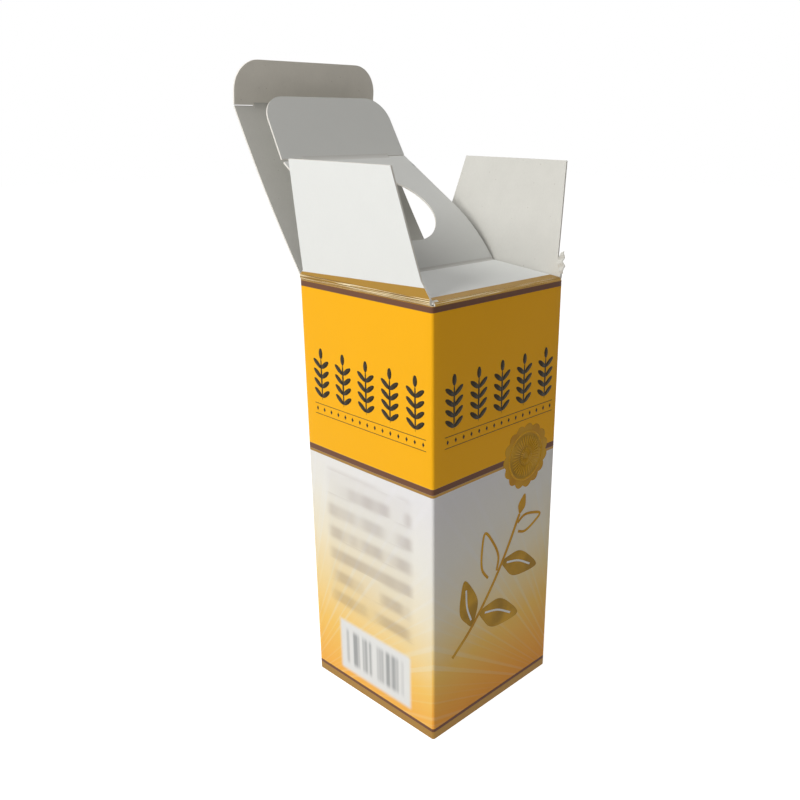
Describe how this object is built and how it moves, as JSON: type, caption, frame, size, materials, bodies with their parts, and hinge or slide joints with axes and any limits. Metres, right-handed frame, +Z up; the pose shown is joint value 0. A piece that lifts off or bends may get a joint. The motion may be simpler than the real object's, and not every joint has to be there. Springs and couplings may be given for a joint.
{
  "type": "folding carton",
  "caption": "Open printed folding carton for a small bottle, with a tuck-in lid, two dust flaps and an inner shelf with a round neck hole.",
  "frame": {"origin": "middle of the carton's underside", "axes": "+Z up along the tube, -Y out of the front wall that carries the neck shelf, +Y out of the back wall that carries the lid, +X out of the right wall"},
  "size_m": [0.0654, 0.0756, 0.1774],
  "materials": {
    "printed_board": "satin",
    "coated_board": "matte"
  },
  "bodies": {
    "carton": {"carton_body": "printed_board"},
    "lid": {"lid_panel": "printed_board"},
    "lid_tuck": {"lid_tuck": "coated_board"},
    "left_dust_flap": {"left_dust_flap": "coated_board"},
    "right_dust_flap": {"right_dust_flap": "coated_board"},
    "neck_riser": {"neck_riser": "coated_board"},
    "neck_shelf": {"neck_shelf": "coated_board"},
    "shelf_tuck": {"shelf_tuck": "coated_board"}
  },
  "joints": [
    {"name": "lid_crease", "type": "hinge", "parent": "carton", "child": "lid", "pos_m": [0, 0.025, 0.123], "axis": [-1, 0, 0], "range_deg": [-4, 134]},
    {"name": "lid_tuck_crease", "type": "hinge", "parent": "lid", "child": "lid_tuck", "pos_m": [0, 0.05008, 0.16571], "axis": [-1, 0, 0], "range_deg": [-52, 33]},
    {"name": "left_dust_crease", "type": "hinge", "parent": "carton", "child": "left_dust_flap", "pos_m": [-0.025, 0, 0.123], "axis": [0, -1, 0], "range_deg": [-12.5, 154]},
    {"name": "right_dust_crease", "type": "hinge", "parent": "carton", "child": "right_dust_flap", "pos_m": [0.025, 0, 0.123], "axis": [0, 1, 0], "range_deg": [-19.5, 147]},
    {"name": "riser_crease", "type": "hinge", "parent": "carton", "child": "neck_riser", "pos_m": [0, -0.025, 0.123], "axis": [1, 0, 0], "range_deg": [-1, 220]},
    {"name": "shelf_crease", "type": "hinge", "parent": "neck_riser", "child": "neck_shelf", "pos_m": [0, -0.00069, 0.12513], "axis": [-1, 0, 0], "range_deg": [-50, 2]},
    {"name": "shelf_tuck_crease", "type": "hinge", "parent": "neck_shelf", "child": "shelf_tuck", "pos_m": [0, 0.03347, 0.15227], "axis": [-1, 0, 0], "range_deg": [-60, 2]}
  ]
}
